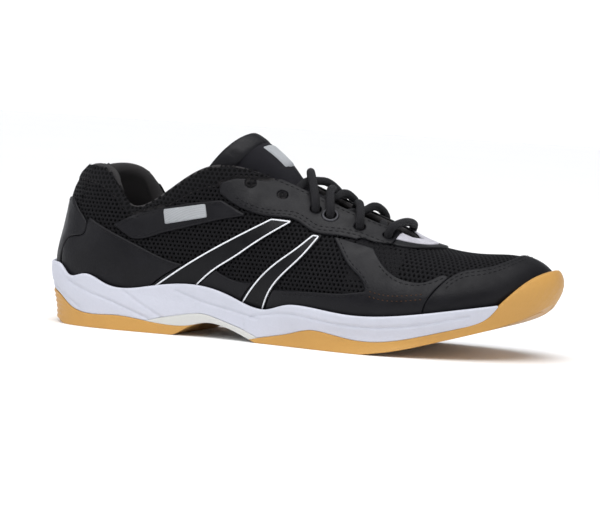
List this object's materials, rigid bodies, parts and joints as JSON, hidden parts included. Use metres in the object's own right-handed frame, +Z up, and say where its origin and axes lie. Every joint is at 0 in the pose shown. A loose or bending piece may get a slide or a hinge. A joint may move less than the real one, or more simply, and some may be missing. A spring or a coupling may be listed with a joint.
{
  "type": "court shoe",
  "caption": "Low-cut laced court shoe for the right foot: mesh and leather upper, padded collar and tongue, removable insole, foam midsole and gum rubber outsole.",
  "frame": {"origin": "on the ground under the middle of the shoe's overall box", "axes": "+X from the heel to the toe, +Z up, -Y towards the outer (lateral) side of a right foot"},
  "size_m": [0.298, 0.1106, 0.115],
  "materials": {
    "gum_rubber": "satin gum rubber",
    "cream_plastic": "moulded cream plate",
    "midsole_foam": "moulded white foam",
    "board": "pressed fibre board",
    "liner_foam": "soft foam",
    "lining_cloth": "knitted lining",
    "mesh": "open air mesh",
    "stiffener": "thermoplastic sheet",
    "padding": "foam padding",
    "leather": "coated synthetic leather",
    "toe_leather": "suede-like synthetic leather",
    "stripe_leather": "smooth synthetic leather",
    "silver_leather": "silver synthetic leather",
    "white_trim": "moulded piping",
    "label": "woven label",
    "eyelet_metal": "satin metal",
    "tongue_cloth": "padded knit",
    "lace": "braided polyester",
    "aglet": "clear-coated tip"
  },
  "bodies": {
    "root": {"outsole_heel": "gum_rubber", "outsole_forefoot": "gum_rubber", "arch_shank": "cream_plastic", "midsole": "midsole_foam", "strobel_board": "board", "vamp_mesh": "mesh", "quarter_mesh_lateral": "mesh", "quarter_mesh_medial": "mesh", "heel_counter": "stiffener", "toe_puff": "stiffener", "eyestay_backing_lateral": "stiffener", "eyestay_backing_medial": "stiffener", "waist_padding_lateral": "padding", "waist_padding_medial": "padding", "collar_foam": "padding", "vamp_lining": "lining_cloth", "heel_lining": "lining_cloth", "collar_lining": "lining_cloth", "heel_overlay_lateral": "leather", "heel_overlay_medial": "leather", "waist_overlay_lateral": "leather", "waist_overlay_medial": "leather", "forefoot_overlay_lateral": "leather", "forefoot_overlay_medial": "leather", "quarter_band_lateral": "leather", "quarter_band_medial": "leather", "eyestay_lateral": "leather", "eyestay_medial": "leather", "backstay": "leather", "toe_cap": "toe_leather", "stripe_rear_lateral": "stripe_leather", "stripe_rear_medial": "stripe_leather", "stripe_front_lateral": "stripe_leather", "stripe_front_medial": "stripe_leather", "throat_piece": "silver_leather", "stripe_piping_lateral": "white_trim", "stripe_piping_medial": "white_trim", "side_label_lateral": "label", "side_label_medial": "label", "eyelet_rings": "eyelet_metal", "tongue_lower": "tongue_cloth", "lace": "lace", "lace_aglets": "aglet"},
    "tongue_top": {"tongue_upper": "tongue_cloth", "tongue_binding": "leather", "tongue_label": "label"},
    "insole": {"sockliner": "liner_foam", "sockliner_cover": "lining_cloth"}
  },
  "joints": [
    {"name": "tongue_fold", "type": "hinge", "parent": "root", "child": "tongue_top", "pos_m": [-0.00895, -0.00069, 0.0949], "axis": [0, 1, 0], "range_deg": [0, 30]},
    {"name": "insole_lift", "type": "hinge", "parent": "root", "child": "insole", "pos_m": [0.13025, -0.00069, 0.0304], "axis": [0, 1, 0], "range_deg": [0, 4]}
  ]
}
